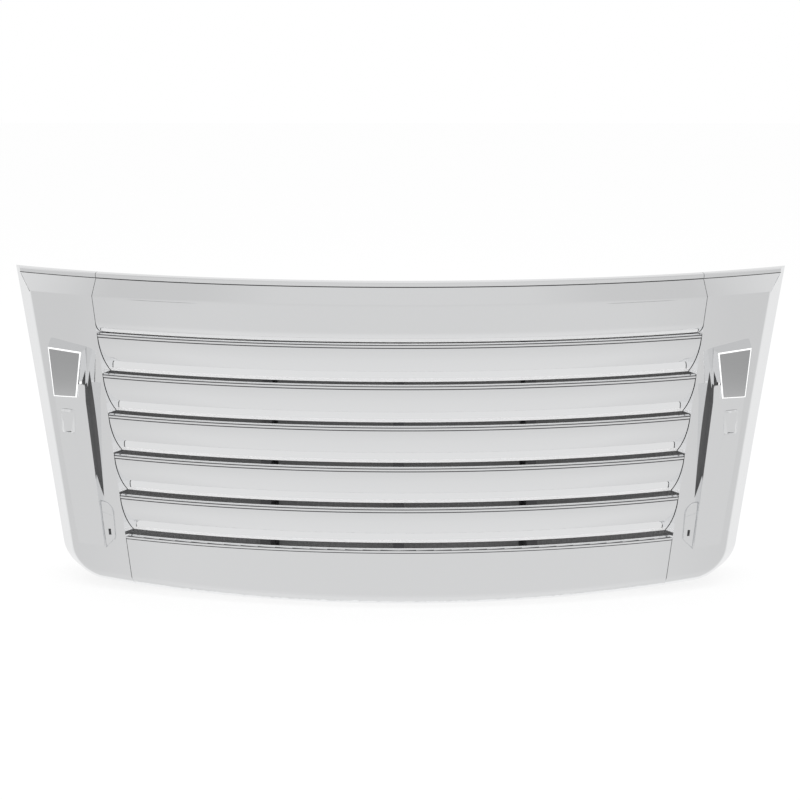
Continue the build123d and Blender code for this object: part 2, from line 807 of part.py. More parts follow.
def tie_bar(angle):
    front, rear = ledge_depth + tie_flange, rear_y - tie_flange
    with BuildPart() as bar:
        add(turned_at([at(ledge_depth, tie_low_z), at(front, tie_low_z),
                       at(front, tie_high_z), at(ledge_depth, tie_high_z)],
                      angle, tie_half, face_radius))
        add(turned_at([at(front - 1, tie_low_z), (rear + 1, tie_low_z),
                       (rear + 1, tie_high_z), at(front - 1, tie_high_z)],
                      angle, tie_web_half, face_radius))
        add(turned_at([(rear, tie_low_z), (rear_y, tie_low_z),
                       (rear_y, tie_high_z), (rear, tie_high_z)],
                      angle, tie_half, face_radius))
    bored_front = holes(bar.part, tie_screw_places(angle), screw[0] + screw_fit, 4 * tie_flange)
    rear_spots = [rear_plane(angle + tie_screw_angle, z, rear_radius)
                  for z in (top_rail_z, bottom_rail_z, *frame_screw_z)]
    return holes(bored_front, rear_spots, screw[0] + screw_fit, 4 * tie_flange)


frame_screw_z = (frame_high_z - frame_border / 2, frame_low_z + frame_border / 2)
rail_end_angle = degrees(asin(rail_end_x / rear_radius))


def rail_places(z, radius):
    """Where a rail is screwed to the tie bars, then to the two uprights."""
    spots = [rear_plane(angle + tie_screw_angle, z, radius) for angle in tie_angles.values()]
    ends = [rear_plane(side * upright_angle, z, radius) for side in (-1, 1)]
    return spots, ends


def cross_rail(z):
    low, high = z - rail_height / 2, z + rail_height / 2
    rail = turned([(rear_y, low), (rear_y + rail_thickness, low),
                   (rear_y + rail_thickness, high), (rear_y, high)], rail_end_angle)
    spots, ends = rail_places(z, rear_radius)
    return holes(rail, spots + ends, screw[0] + screw_fit, 4 * rail_thickness)


def upright():
    length = upright_high_z - upright_low_z
    with BuildPart() as plate:
        with BuildSketch(upright_plane(0, (upright_high_z + upright_low_z) / 2)):
            Rectangle(upright_width, length)
        extrude(amount=upright_thickness)
        with Locations(*[upright_plane(0, z) for z in (*post_z, top_rail_z, bottom_rail_z)]):
            Cylinder(screw[0] + screw_fit, 20, mode=Mode.SUBTRACT)
        with Locations(*bracket_bolt_places(0)):
            Cylinder(bolt[0] + screw_fit, 20, mode=Mode.SUBTRACT)
    return plate.part


# ---- Mounting brackets -----------------------------------------------------
def bracket_bolt_places(offset, rows=(1, -1)):
    return [
        upright_plane(offset, row * mount_z + side * bracket_bolt_pitch / 2)
        for row in rows for side in (-1, 1)
    ]


def mounting_bracket(row):
    """Z-shaped bracket: flange on the upright, web to the rear, slotless foot."""
    a = radians(upright_angle)
    seat = upright_plane(upright_thickness)
    along = Vector(cos(a), -sin(a), 0)
    rearward = Vector(sin(a), cos(a), 0)
    t = bracket_thickness
    inner_end = seat.origin + along * (upright_width / 2)
    outer_end = seat.origin - along * (upright_width / 2)
    inside = t * (1 - sin(a)) / cos(a)
    corner = outer_end + rearward * t + along * inside
    web_x = outer_end.X
    foot_x = -mount_x + foot_beyond
    points = [inner_end, outer_end, (web_x, 0), (foot_x, 0), (foot_x, -t), (web_x + t, -t),
              (web_x + t, corner.Y), inner_end + rearward * t]
    flat = [(p.X, p.Y) if isinstance(p, Vector) else p for p in points]
    with BuildPart() as bracket:
        with BuildSketch(Plane.XY.offset(row * mount_z - bracket_height / 2)):
            with BuildLine():
                Polyline(*flat, close=True)
            make_face()
        extrude(amount=bracket_height)
        with Locations(*bracket_bolt_places(0, (row,))):
            Cylinder(bolt[0] + screw_fit, 30, mode=Mode.SUBTRACT)
        with Locations(Plane(origin=(-mount_x, 0, row * mount_z), z_dir=(0, 1, 0))):
            Cylinder(mount_hole_radius, 4 * t, mode=Mode.SUBTRACT)
    return bracket.part


# ---- Bug screen ------------------------------------------------------------
def ring_layer(front, rear, grow):
    """Turned band between two radii over the bug screen's outline."""
    half = degrees(asin(frame_half_x / rear_radius)) + degrees(grow / rear_radius)
    low, high = frame_low_z - grow, frame_high_z + grow
    y_front, y_rear = turn_y - front, turn_y - rear
    return turned([(y_front, low), (y_rear, low), (y_rear, high), (y_front, high)], half)


def frame_screw_places(radius):
    return [
        rear_plane(angle + tie_screw_angle, z, radius)
        for angle in tie_angles.values() for z in frame_screw_z
    ]


def bug_screen_frame():
    with BuildPart() as frame:
        add(ring_layer(rear_radius, rear_radius - frame_thickness, 0))
        add(ring_layer(rear_radius + 5, rear_radius - frame_thickness - 5, -frame_border),
            mode=Mode.SUBTRACT)
    return holes(frame.part, frame_screw_places(rear_radius), screw[0] + screw_fit, 30)


def bug_screen():
    front = rear_radius - frame_thickness
    with BuildPart() as sheet:
        add(ring_layer(front, front - mesh_thickness, -1))
    return holes(sheet.part, frame_screw_places(front), screw[0] + screw_fit, 10)


def screen_clips():
    """Spring clips over the frame and the mesh along the top and bottom edges."""
    t = clip_thickness
    front = turn_y - rear_radius - t - seat_gap
    rear = turn_y - rear_radius + frame_thickness + mesh_thickness + seat_gap
    with BuildPart() as clips:
        for x in clip_x:
            angle = degrees(asin(x / rear_radius))
            for edge, inward in ((frame_high_z, -1), (frame_low_z, 1)):
                base, top = edge - inward * seat_gap, edge - inward * (t + seat_gap)
                leg = edge + inward * clip_leg
                add(turned_at([(front, leg), (front, top), (rear + t, top), (rear + t, leg),
                               (rear, leg), (rear, base), (front + t, base), (front + t, leg)],
                              angle, clip_half, rear_radius))
    return clips.part


def nuts():
    """Nuts on the front of the uprights for the bracket bolts."""
    with BuildPart() as one:
        with BuildSketch():
            RegularPolygon(bolt[1], 6)
            Circle(bolt[0] + screw_fit, mode=Mode.SUBTRACT)
        extrude(amount=-nut_height)
    with BuildPart() as group:
        with Locations(*both_sides(bracket_bolt_places(0))):
            add(one.part)
    return group.part


# ---- Build every piece -----------------------------------------------------
def main():
    os.makedirs("parts", exist_ok=True)
    pieces = {"header_panel": header_panel(), "skirt_panel": skirt_panel()}
    for number in range(1, blade_count + 1):
        pieces[f"louvre_blade_{number}"] = louvre_blade(number)
    handed = {
        "side_panel": side_panel(),
        "pod_plug": pod_plug(),
        "intake_screen": intake_screen(),
        "intake_end_cap": intake_end_cap(),
        "side_upright": upright(),
        "mounting_bracket_upper": mounting_bracket(1),
        "mounting_bracket_lower": mounting_bracket(-1),
    }
    for name, part in handed.items():
        pieces[f"{name}_left"] = part
        pieces[f"{name}_right"] = mirrored(part)
    for name, angle in tie_angles.items():
        pieces[f"tie_bar_{name}"] = tie_bar(angle)
    pieces["top_rail"] = cross_rail(top_rail_z)
    pieces["bottom_rail"] = cross_rail(bottom_rail_z)
    pieces["bug_screen_frame"] = bug_screen_frame()
    pieces["bug_screen"] = bug_screen()
    pieces["screen_clips"] = screen_clips()

    tie_places = [p for angle in tie_angles.values() for p in tie_screw_places(angle)]
    rail_spots, rail_ends = [], []
    for z in (top_rail_z, bottom_rail_z):
        spots, ends = rail_places(z, rail_rear_radius)
        rail_spots += spots
        rail_ends += [Plane(origin=p.origin + p.z_dir * (upright_thickness + seat_gap),
                            x_dir=p.x_dir, z_dir=p.z_dir) for p in ends]
    post_places = both_sides([upright_plane(upright_thickness, z) for z in post_z])
    mesh_rear = rear_radius - frame_thickness - mesh_thickness
    screen_places = both_sides(boss_planes(screen_setback + screen_thickness))
    bolt_places = both_sides(bracket_bolt_places(upright_thickness + bracket_thickness))
    pieces["seam_screws"] = fasteners(both_sides(seam_screw_places), screw, 9.5)
    pieces["tie_bar_screws"] = fasteners(tie_places, screw, 7.0)
    pieces["rail_screws"] = fasteners(rail_spots + rail_ends, screw, 12.0)
    pieces["panel_screws"] = fasteners(post_places, screw, 14.0)
    pieces["frame_screws"] = fasteners(frame_screw_places(mesh_rear), screw, 10.0)
    pieces["intake_screws"] = fasteners(screen_places, small_screw, 8.0)
    pieces["bracket_bolts"] = fasteners(bolt_places, bolt, 14.0, sides=6)
    pieces["bracket_nuts"] = nuts()

    for name, part in pieces.items():
        part.label = name
        export_step(part, f"parts/{name}.step")
        print(f"{name}: {len(part.solids())} solids")


main()
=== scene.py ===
from math import atan2, cos, pi, radians, sin, sqrt, tan

import bmesh
import bpy
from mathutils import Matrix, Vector


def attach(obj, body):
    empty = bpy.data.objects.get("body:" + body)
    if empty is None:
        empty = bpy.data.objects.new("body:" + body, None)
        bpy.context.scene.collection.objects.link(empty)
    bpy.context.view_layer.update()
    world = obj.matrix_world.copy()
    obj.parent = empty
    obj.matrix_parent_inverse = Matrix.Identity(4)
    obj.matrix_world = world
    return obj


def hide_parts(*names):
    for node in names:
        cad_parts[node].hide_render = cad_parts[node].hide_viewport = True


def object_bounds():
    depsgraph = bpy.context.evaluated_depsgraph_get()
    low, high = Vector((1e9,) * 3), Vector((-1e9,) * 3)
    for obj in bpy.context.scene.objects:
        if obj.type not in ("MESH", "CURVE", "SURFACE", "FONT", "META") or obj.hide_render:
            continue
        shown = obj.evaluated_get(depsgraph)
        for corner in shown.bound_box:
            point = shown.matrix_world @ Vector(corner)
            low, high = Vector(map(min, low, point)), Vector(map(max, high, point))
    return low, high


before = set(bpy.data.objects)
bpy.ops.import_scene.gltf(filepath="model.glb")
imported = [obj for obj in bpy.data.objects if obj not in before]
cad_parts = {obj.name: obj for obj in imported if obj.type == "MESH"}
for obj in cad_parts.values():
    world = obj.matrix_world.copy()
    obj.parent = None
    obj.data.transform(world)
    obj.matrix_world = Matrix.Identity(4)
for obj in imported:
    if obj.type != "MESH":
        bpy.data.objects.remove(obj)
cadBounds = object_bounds()
print("frame loaded")

mm = 0.001
joinDistance = {"made": 1e-6, "solid": 2e-6}


def newObject(name, verts, faces):
    mesh = bpy.data.meshes.new(name)
    mesh.from_pydata(verts, [], faces)
    return link(bpy.data.objects.new(name, mesh))


def link(obj):
    bpy.context.scene.collection.objects.link(obj)
    return obj


def smoothByAngle(mesh, angle):
    for polygon in mesh.polygons:
        polygon.use_smooth = True
    mesh.set_sharp_from_angle(angle=radians(angle))


def closeNormals(mesh):
    # outward faces on a closed shell
    bm = bmesh.new()
    bm.from_mesh(mesh)
    bmesh.ops.remove_doubles(bm, verts=bm.verts, dist=joinDistance["made"])
    bmesh.ops.recalc_face_normals(bm, faces=bm.faces)
    bm.to_mesh(mesh)
    bm.free()


def setMaterial(obj, material):
    obj.data.materials.clear()
    obj.data.materials.append(material)


def node(tree, kind, x=0, y=0, **values):
    item = tree.nodes.new(kind)
    item.location = (x, y)
    for key, value in values.items():
        setattr(item, key, value)
    return item


def maths(tree, operation, a, b=0.0):
    item = node(tree, "ShaderNodeMath", operation=operation)
    for socket, value in zip(item.inputs, (a, b)):
        if isinstance(value, bpy.types.NodeSocket):
            tree.links.new(value, socket)
        else:
            socket.default_value = value
    return item.outputs[0]


haze = {"slowDetail": 1.5, "fineScale": 900, "fineDetail": 3}


def makeSurfaceWander():
    # slow waviness and fine haze, for every finish here
    tree = bpy.data.node_groups.new("surfaceWander", "ShaderNodeTree")
    sockets = tree.interface
    scaleIn = sockets.new_socket("Scale", in_out="INPUT", socket_type="NodeSocketFloat")
    lowIn = sockets.new_socket("Low Roughness", in_out="INPUT", socket_type="NodeSocketFloat")
    highIn = sockets.new_socket("High Roughness", in_out="INPUT", socket_type="NodeSocketFloat")
    scaleIn.default_value, lowIn.default_value, highIn.default_value = 30, 0.03, 0.09
    sockets.new_socket("Roughness", in_out="OUTPUT", socket_type="NodeSocketFloat")
    sockets.new_socket("Height", in_out="OUTPUT", socket_type="NodeSocketFloat")
    sockets.new_socket("Mask", in_out="OUTPUT", socket_type="NodeSocketFloat")
    given = node(tree, "NodeGroupInput", -800)
    result = node(tree, "NodeGroupOutput", 400)
    place = node(tree, "ShaderNodeTexCoord", -800, -300)
    slow = node(tree, "ShaderNodeTexNoise", -500, 100)
    slow.inputs["Detail"].default_value = haze["slowDetail"]
    fine = node(tree, "ShaderNodeTexNoise", -500, -200)
    fine.inputs["Scale"].default_value = haze["fineScale"]
    fine.inputs["Detail"].default_value = haze["fineDetail"]
    spread = node(tree, "ShaderNodeMapRange", -100, 100)
    tree.links.new(place.outputs["Object"], slow.inputs["Vector"])
    tree.links.new(place.outputs["Object"], fine.inputs["Vector"])
    tree.links.new(given.outputs["Scale"], slow.inputs["Scale"])
    tree.links.new(slow.outputs["Fac"], spread.inputs["Value"])
    tree.links.new(given.outputs["Low Roughness"], spread.inputs["To Min"])
    tree.links.new(given.outputs["High Roughness"], spread.inputs["To Max"])
    tree.links.new(spread.outputs["Result"], result.inputs["Roughness"])
    tree.links.new(slow.outputs["Fac"], result.inputs["Height"])
    tree.links.new(fine.outputs["Fac"], result.inputs["Mask"])
    return tree


surfaceWander = makeSurfaceWander()


def makeFinish(name, look):
    material = bpy.data.materials.new(name)
    material.use_nodes = True
    tree = material.node_tree
    shader = tree.nodes["Principled BSDF"]
    shader.inputs["Metallic"].default_value = look["metallic"]
    # painted glow, for the finishes that list one
    shader.inputs["Emission Color"].default_value = (1, 1, 1, 1)
    shader.inputs["Emission Strength"].default_value = look.get("glow", 0.0)
    wander = node(tree, "ShaderNodeGroup", -700, 0, node_tree=surfaceWander)
    wander.inputs["Scale"].default_value = look["scale"]
    wander.inputs["Low Roughness"].default_value = look["roughness"][0]
    wander.inputs["High Roughness"].default_value = look["roughness"][1]
    tint = node(tree, "ShaderNodeMix", -350, 200, data_type="RGBA")
    tint.inputs["A"].default_value = (*look["color"], 1)
    tint.inputs["B"].default_value = (*look["worn"], 1)
    bump = node(tree, "ShaderNodeBump", -350, -250)
    bump.inputs["Strength"].default_value = look["bump"]
    bump.inputs["Distance"].default_value = look["bumpDepth"]
    tree.links.new(wander.outputs["Mask"], tint.inputs["Factor"])
    tree.links.new(tint.outputs["Result"], shader.inputs["Base Color"])
    tree.links.new(wander.outputs["Roughness"], shader.inputs["Roughness"])
    heightFrom = "Mask" if look.get("grainy") else "Height"
    tree.links.new(wander.outputs[heightFrom], bump.inputs["Height"])
    tree.links.new(bump.outputs["Normal"], shader.inputs["Normal"])
    return material


finishes = {
    "chrome": {"color": (0.91, 0.915, 0.925), "worn": (0.925, 0.93, 0.935), "metallic": 1.0,
               "roughness": (0.05, 0.09), "scale": 14, "bump": 0.04, "bumpDepth": 0.0004},
    # painted shade: a near-black finish laid in grooves, seam gaps and undersides where shade
    # falls
    "shadowLine": {"color": (0.07, 0.07, 0.075), "worn": (0.13, 0.13, 0.135), "metallic": 0.6,
                   "roughness": (0.3, 0.45), "scale": 40, "bump": 0.1, "bumpDepth": 0.0001},
    # painted highlight: a pale, non-metal finish with a faint glow, standing for bright
    # reflections along chrome edges
    "paintedEdgeHighlight": {"color": (0.93, 0.93, 0.935), "worn": (0.96, 0.96, 0.96), "metallic": 0.0,
                   "roughness": (0.3, 0.4), "scale": 40, "bump": 0.05, "bumpDepth": 0.0001,
                   "glow": 0.22},
    "blackCoat": {"color": (0.06, 0.06, 0.063), "worn": (0.09, 0.09, 0.095), "metallic": 0.0,
                  "roughness": (0.42, 0.6), "scale": 60, "bump": 0.25, "bumpDepth": 0.0002,
                  "grainy": True},
    # blackMesh glow is a painted glow: the screen gives off a little light, lifting its dark tone
    "blackMesh": {"color": (0.11, 0.11, 0.115), "worn": (0.16, 0.16, 0.165), "metallic": 0.0,
                  "roughness": (0.35, 0.55), "scale": 80, "bump": 0.2, "bumpDepth": 0.0001,
                  "grainy": True, "glow": 0.05},
    "zinc": {"color": (0.55, 0.56, 0.58), "worn": (0.43, 0.44, 0.46), "metallic": 1.0,
             "roughness": (0.24, 0.4), "scale": 120, "bump": 0.15, "bumpDepth": 0.0001,
             "grainy": True},
    "springSteel": {"color": (0.42, 0.43, 0.45), "worn": (0.33, 0.34, 0.36), "metallic": 1.0,
                    "roughness": (0.2, 0.34), "scale": 150, "bump": 0.1, "bumpDepth": 0.0001},
}
made = {name: makeFinish(name, look) for name, look in finishes.items()}
# strength of the painted glow that reflections see on the ledges
ledgeGlow = 0.8


def makePaintedLedgeLight():
    # chrome to the eye; reflections see a painted glow instead, so the blade above mirrors an
    # even pale ledge
    material = makeFinish("paintedLedgeLight", finishes["chrome"])
    tree = material.node_tree
    shader, output = tree.nodes["Principled BSDF"], tree.nodes["Material Output"]
    pale = node(tree, "ShaderNodeEmission", 0, -300)
    pale.inputs["Strength"].default_value = ledgeGlow
    rays = node(tree, "ShaderNodeLightPath", 0, 400)
    pick = node(tree, "ShaderNodeMixShader", 300, 0)
    tree.links.new(rays.outputs["Is Glossy Ray"], pick.inputs["Fac"])
    tree.links.new(shader.outputs[0], pick.inputs[1])
    tree.links.new(pale.outputs[0], pick.inputs[2])
    tree.links.new(pick.outputs[0], output.inputs["Surface"])
    return material


made["paintedLedgeLight"] = makePaintedLedgeLight()
finishOrder = ["chrome", "shadowLine", "paintedEdgeHighlight", "paintedLedgeLight"]


def plate(obj):
    # the finishes of a plated piece, in the order that its faces count them
    setMaterial(obj, made[finishOrder[0]])
    for name in finishOrder[1:]:
        obj.data.materials.append(made[name])


def finishAt(setback, z, marks):
    # the number of the first finish with a (setback, z) box around this place, or None
    for number, name in enumerate(finishOrder):
        if any(s0 <= setback <= s1 and z0 <= z <= z1 for s0, s1, z0, z1 in marks.get(name, ())):
            return number
    return None


print("finishes made")

face = {"radius": 1050.0, "lean": 5.0, "front": -240.0, "wall": 3.0, "casingDepth": 25.0}
edge = {"creaseZ": 193.0, "bevelRise": 24.0, "bevelRun": 17.0, "lipRise": 9.0,
        "creaseRound": 2.2, "grooveDeep": 1.0, "grooveTall": 1.0, "ribDrop": 22.0}
seam = {"topX": 460.0, "topZ": 222.0, "lowX": 398.0, "lowZ": -215.0, "angle": 24.0, "gap": 0.8,
        "plate": 4.0, "plateGap": 0.05, "widest": 40.0, "halvings": 40}
louvre = {"count": 5, "noseTopZ": 133.4, "pitch": 59.2, "height": 5.4, "step": 0.9,
          "grooveZ": 2.7, "groove": 0.7, "run": 5.5, "ledge": 34.0, "fall": 7.2,
          "flange": 9.0, "hemBack": 22.0, "firstHem": 5.8, "hemStep": 0.6, "roll": 16.0,
          "shade": 1.6, "shineRun": 16.0, "shineRise": 6.0}
hem1 = {"shineFrom": 8.0, "shineTo": 13.5, "shineRise": 3.0,
        "shadeFrom": 14.5, "shadeTo": 26.0, "shadeRise": 1.6}
easing = {"share": 0.45, "least": 0.02, "spare": 0.4, "spareShare": 0.04}
columns = 72
shellCrease = 38
turnY = face["front"] + face["radius"]
leanSlope = tan(radians(face["lean"]))
wall = face["wall"]


def faceY(x, z, setback=0.0):
    return turnY - sqrt((face["radius"] - leanSlope * z - setback) ** 2 - x**2)


def turnPoint(setback, z, angle):
    rho = face["radius"] - leanSlope * z - setback
    return Vector((rho * sin(angle), turnY - rho * cos(angle), z))


seamTop = Vector((-seam["topX"], faceY(seam["topX"], seam["topZ"]), seam["topZ"]))
seamLow = Vector((-seam["lowX"], faceY(seam["lowX"], seam["lowZ"]), seam["lowZ"]))
seamIn = Vector((sin(radians(seam["angle"])), cos(radians(seam["angle"])), 0))
seamNormal = (seamTop - seamLow).cross(seamIn).normalized()
if seamNormal.x < 0:
    seamNormal = -seamNormal


def endAngle(setback, z, offset):
    # plan angle where a turned line meets the seam, halving the span each time
    low, high = 0.0, radians(seam["widest"])
    for _ in range(seam["halvings"]):
        middle = (low + high) / 2
        inside = (turnPoint(setback, z, -middle) - seamTop).dot(seamNormal) > offset
        low, high = (middle, high) if inside else (low, middle)
    return low


def rounded(points, radius=0.0, steps=4):
    # (setback, z) or (setback, z, radius) corners, each drawn as a small curve
    loop = []
    for i, point in enumerate(points):
        here = Vector(point[:2])
        size = point[2] if len(point) > 2 else radius
        before, after = Vector(points[i - 1][:2]), Vector(points[(i + 1) % len(points)][:2])
        toBefore, toAfter = before - here, after - here
        reach = min(size, toBefore.length * easing["share"], toAfter.length * easing["share"])
        if reach < easing["least"]:
            loop.append(here)
            continue
        a = here + toBefore.normalized() * reach
        b = here + toAfter.normalized() * reach
        # a point just outside each end of the curve keeps the flats flat
        spare = min(easing["spare"], toBefore.length * easing["spareShare"])
        loop.append(a + toBefore.normalized() * spare)
        for k in range(steps + 1):
            t = k / steps
            loop.append(a * (1 - t) ** 2 + here * 2 * t * (1 - t) + b * t * t)
        spare = min(easing["spare"], toAfter.length * easing["spareShare"])
        loop.append(b + toAfter.normalized() * spare)
    return loop


def turnedVerts(loop, offset):
    # rows of points along each turned line, from the left seam to the right one
    rows = []
    for setback, z in loop:
        end = endAngle(setback, z, offset)
        rows.append([turnPoint(setback, z, end * (2 * c / columns - 1)) * mm
                     for c in range(columns + 1)])
    return rows


def turnedShell(name, loops, plates, marks):
    # closed sections between the seams and the end plates inside them
    verts, faces, finishes = [], [], []
    wide = columns + 1
    for loop in loops:
        start, n = len(verts), len(loop)
        for row in turnedVerts(loop, seam["gap"] / 2):
            verts += row
        for i in range(n):
            j = (i + 1) % n
            middle = (Vector(loop[i]) + Vector(loop[j])) / 2
            finishes += [finishAt(middle[0], middle[1], marks) or 0] * columns
            for c in range(columns):
                faces.append((start + i * wide + c, start + i * wide + c + 1,
                              start + j * wide + c + 1, start + j * wide + c))
        faces.append(tuple(start + i * wide for i in range(n)))
        faces.append(tuple(start + i * wide + columns for i in reversed(range(n))))
        # painted shade on the two end faces that look into the seam gaps
        finishes += [finishOrder.index("shadowLine")] * 2
    for outline in plates:
        for side in (-1, 1):
            start, n = len(verts), len(outline)
            for offset in (seam["plateGap"], seam["plate"]):
                for s, z in outline:
                    end = endAngle(s, z, seam["gap"] / 2 + offset)
                    verts.append(turnPoint(s, z, side * end) * mm)
            for i in range(n):
                j = (i + 1) % n
                faces.append((start + i, start + j, start + n + j, start + n + i))
            faces.append(tuple(start + i for i in range(n)))
            faces.append(tuple(start + n + i for i in reversed(range(n))))
            finishes += [0] * (n + 2)
    obj = newObject(name, verts, faces)
    plate(obj)
    obj.data.polygons.foreach_set("material_index", finishes)
    closeNormals(obj.data)
    smoothByAngle(obj.data, shellCrease)
    return obj


def arc(start, middle, end, steps=8):
    # points on the circle through three places
    ax, ay = start
    bx, by = middle
    cx, cy = end
    d = 2 * (ax * (by - cy) + bx * (cy - ay) + cx * (ay - by))
    ux = ((ax**2 + ay**2) * (by - cy) + (bx**2 + by**2) * (cy - ay)
          + (cx**2 + cy**2) * (ay - by)) / d
    uy = ((ax**2 + ay**2) * (cx - bx) + (bx**2 + by**2) * (ax - cx)
          + (cx**2 + cy**2) * (bx - ax)) / d
    r = sqrt((ax - ux) ** 2 + (ay - uy) ** 2)
    a0, a1 = atan2(ay - uy, ax - ux), atan2(cy - uy, cx - ux)
    am = atan2(by - uy, bx - ux)
    span = (a1 - a0) % (2 * pi)
    if (am - a0) % (2 * pi) > span:
        span -= 2 * pi
    return [(ux + r * cos(a0 + span * k / steps), uy + r * sin(a0 + span * k / steps))
            for k in range(steps + 1)]


def noseZ(number):
    return louvre["noseTopZ"] - (number - 1) * louvre["pitch"]


def hemZ(number):
    return noseZ(number) + louvre["firstHem"] + (number - 1) * louvre["hemStep"]


def bend(setback, startZ, lowZ):
    # middle of the curve that leaves upright and ends this far back and down
    drop = startZ - lowZ
    radius = (setback**2 + drop**2) / (2 * setback)
    return radius - sqrt(radius**2 - (drop / 2) ** 2), startZ - drop / 2


def noseAndLedge(z):
    # from the foot of a nose, over its groove and along the ledge behind it
    top = z + louvre["height"]
    gz, g, ledge = louvre["grooveZ"], louvre["groove"], louvre["ledge"]
    under = top - louvre["fall"]
    return [(louvre["step"], z), (0, z, 0.35), (0, z + gz, 0.25), (g, z + gz + 0.2, 0.1),
            (g, z + gz + g, 0.1), (0.2, z + gz + g + 0.2, 0.2), (0.8, top - 1.1, 0.6),
            (2.2, top - 0.35, 0.6), (4.0, top - 0.05, 0.5), (louvre["run"], top, 0.5),
            (ledge, under, 1.0), (ledge, under - louvre["flange"], 0.4),
            (ledge - wall, under - louvre["flange"], 0.4),
            (ledge - wall, under - wall * 0.8, 0.4), (louvre["run"] + 2, top - wall, 0.3),
            (louvre["step"] + wall, top - wall - 2, 0.3)]


def darkLines(z):
    # painted shade in the groove along a nose, and on the line right under it
    gz, g = louvre["grooveZ"], louvre["groove"]
    return [(0.05, 2.2, z + gz - 0.1, z + gz + g + 0.6),
            (0.0, louvre["step"] + 0.3, z - louvre["shade"], z + 0.05)]


def ledgeTop(z):
    # the top of a nose and the slope behind it, where the painted ledge glow goes
    top = z + louvre["height"]
    return [(1.0, louvre["run"] + 0.5, top - 1.0, top + 0.1),
            (louvre["run"], louvre["ledge"] + 0.1, top - louvre["fall"] * 0.7, top + 0.1)]


def hemLine(number):
    # the lowest outer strips of a hem, just above a slot, where a highlight is painted
    hem = hemZ(number)
    if number == 1:
        return [(hem1["shineFrom"], hem1["shineTo"], hem - 0.1, hem + hem1["shineRise"])]
    return [(louvre["hemBack"] - louvre["shineRun"], louvre["hemBack"] + 0.8,
             hem - 0.1, hem + louvre["shineRise"])]


def underHem():
    # painted shade on the flat underside of the header's hem
    hem = hemZ(1)
    return [(hem1["shadeFrom"], hem1["shadeTo"], hem - 0.1, hem + hem1["shadeRise"])]


def lipGroove():
    # painted shade on the line between the lip and the bevel
    z0, run = edge["creaseZ"] + edge["bevelRise"], edge["bevelRun"]
    return [(run - 0.2, run + 1.3, z0 - 0.2, z0 + 1.25)]


def headerLoops():
    # the header's section, the rib behind its face and its end plates
    hem = hemZ(1)
    roll, back = louvre["roll"], louvre["hemBack"]
    rollZ = hem + roll
    inner = roll - wall
    k = 1 - sin(radians(45))
    z0 = edge["creaseZ"] + edge["bevelRise"]
    run, rise, deep = edge["bevelRun"], edge["lipRise"], face["casingDepth"]
    deepRun, tall = run + edge["grooveDeep"], edge["grooveTall"]
    corners = [(0, rollZ), (0, edge["creaseZ"], edge["creaseRound"]), (run, z0, 0.3),
               (deepRun, z0 + 0.2, 0.1), (deepRun, z0 + tall, 0.1),
               (run - 0.6, z0 + tall + 0.2, 0.3),
               (run, z0 + rise - 3, 0.6), (run + 1.2, z0 + rise - 1.4, 0.6),
               (run + 3, z0 + rise - 0.8, 0.6), (deep, z0 + rise, 0.4),
               (deep, z0 + rise - wall, 0.4), (run + wall + 1.5, z0 + rise - wall - 1.5, 0.4),
               (run + wall, z0 - 1.2, 0.4), (wall, edge["creaseZ"] - 1, 1.0), (wall, rollZ)]
    loop = rounded(corners)
    loop += arc((wall, rollZ), (wall + inner * k, rollZ - inner * (1 - k)),
                (roll, hem + wall))[1:]
    loop += arc((back, hem + wall), (back + wall / 2, hem + wall / 2), (back, hem), 6)
    loop += arc((roll, hem), (roll * k, rollZ - roll * (1 - k)), (0, rollZ), 14)[:-1]
    rib = edge["creaseZ"] - edge["ribDrop"]
    ledge, tall = louvre["ledge"], louvre["flange"] + wall
    ribLoop = rounded([(wall - 0.5, rib), (ledge, rib), (ledge, rib + tall),
                       (ledge - wall, rib + tall), (ledge - wall, rib + wall),
                       (wall - 0.5, rib + wall)], 0.4, 2)
    endPlate = [(wall / 2, rollZ + 1), (back - 2, hem + wall / 2), (deep, rib + 1),
                (wall / 2, rib + 1)]
    return [loop, ribLoop], [endPlate]


def bladeLoops(number):
    # a blade's section and its end plates
    z, hem = noseZ(number), hemZ(number + 1)
    step, back = louvre["step"], louvre["hemBack"]
    outer = bend(back - step, z, hem)
    inner = bend(back - step, z, hem + wall / 2)
    nose = noseAndLedge(z)
    loop = rounded(nose + [(step + wall, z)])
    loop += arc((step + wall, z), (step + wall + inner[0], inner[1]),
                (back + wall, hem + wall / 2), 14)[1:]
    loop += arc((back + wall, hem + wall / 2), (back + wall / 2, hem),
                (back, hem + wall / 2), 6)[1:]
    curve = arc((back, hem + wall / 2), (step + outer[0], outer[1]), (step, z), 20)
    loop += curve[1:-1] + [(step + 0.02, z - louvre["shade"])]
    ledge = louvre["ledge"]
    ledgeZ, flangeZ = nose[10][1], nose[11][1]
    endPlate = [(step + 1, z), (ledge - 1, ledgeZ - 1), (ledge - 1, flangeZ + 1),
                (back + 1, hem + 6), (back - 3, hem + 9), (step + outer[0] + 1, outer[1])]
    return [loop], [endPlate]


print("building header and louvres")
loops, plates = headerLoops()
# painted shade in the lip groove and under the hem, painted highlight on the hem's lowest strips
marks = {"shadowLine": lipGroove() + underHem(), "paintedEdgeHighlight": hemLine(1)}
header = turnedShell("headerShell", loops, plates, marks)
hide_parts("header_panel")
shells = [header]
for number in range(1, louvre["count"] + 1):
    loops, plates = bladeLoops(number)
    # painted shade lines, painted highlight on the hem strips and painted ledge glow on each
    # blade
    marks = {"shadowLine": darkLines(noseZ(number)), "paintedEdgeHighlight": hemLine(number + 1),
             "paintedLedgeLight": ledgeTop(noseZ(number))}
    blade = turnedShell(f"louvreShell{number}", loops, plates, marks)
    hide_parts(f"louvre_blade_{number}")
    shells.append(blade)
for shell in shells:
    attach(shell, "root")

